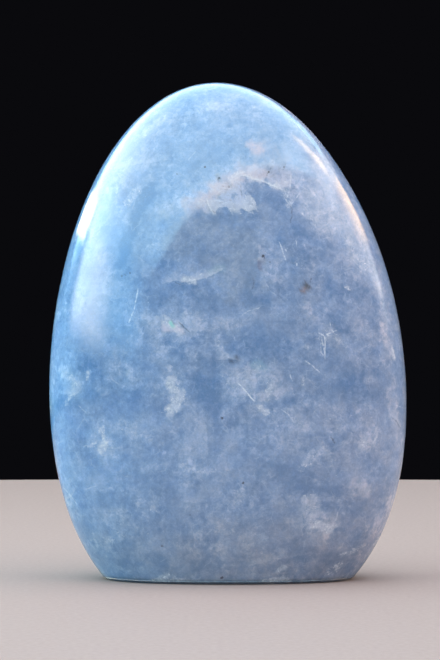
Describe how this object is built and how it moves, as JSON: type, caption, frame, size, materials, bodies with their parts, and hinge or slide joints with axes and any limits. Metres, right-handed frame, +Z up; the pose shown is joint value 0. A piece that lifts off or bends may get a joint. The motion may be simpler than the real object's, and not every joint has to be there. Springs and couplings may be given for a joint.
{
  "type": "polished blue calcite freeform",
  "caption": "Polished upright egg-shaped freeform of pale blue calcite, flattened front to back, standing on a small flat spot ground under its blunt end.",
  "frame": {"origin": "middle of the stone's footprint box, on the flat spot that it stands on", "axes": "+Z up through the tip, +X across the width, the broad polished front looks along -Y and +Y goes through the thickness"},
  "size_m": [0.0792, 0.0408, 0.1102],
  "materials": {
    "blue_calcite": "polished, cloudy pale blue with white and lavender veils"
  },
  "bodies": {
    "root": {"stone": "blue_calcite"}
  },
  "joints": []
}
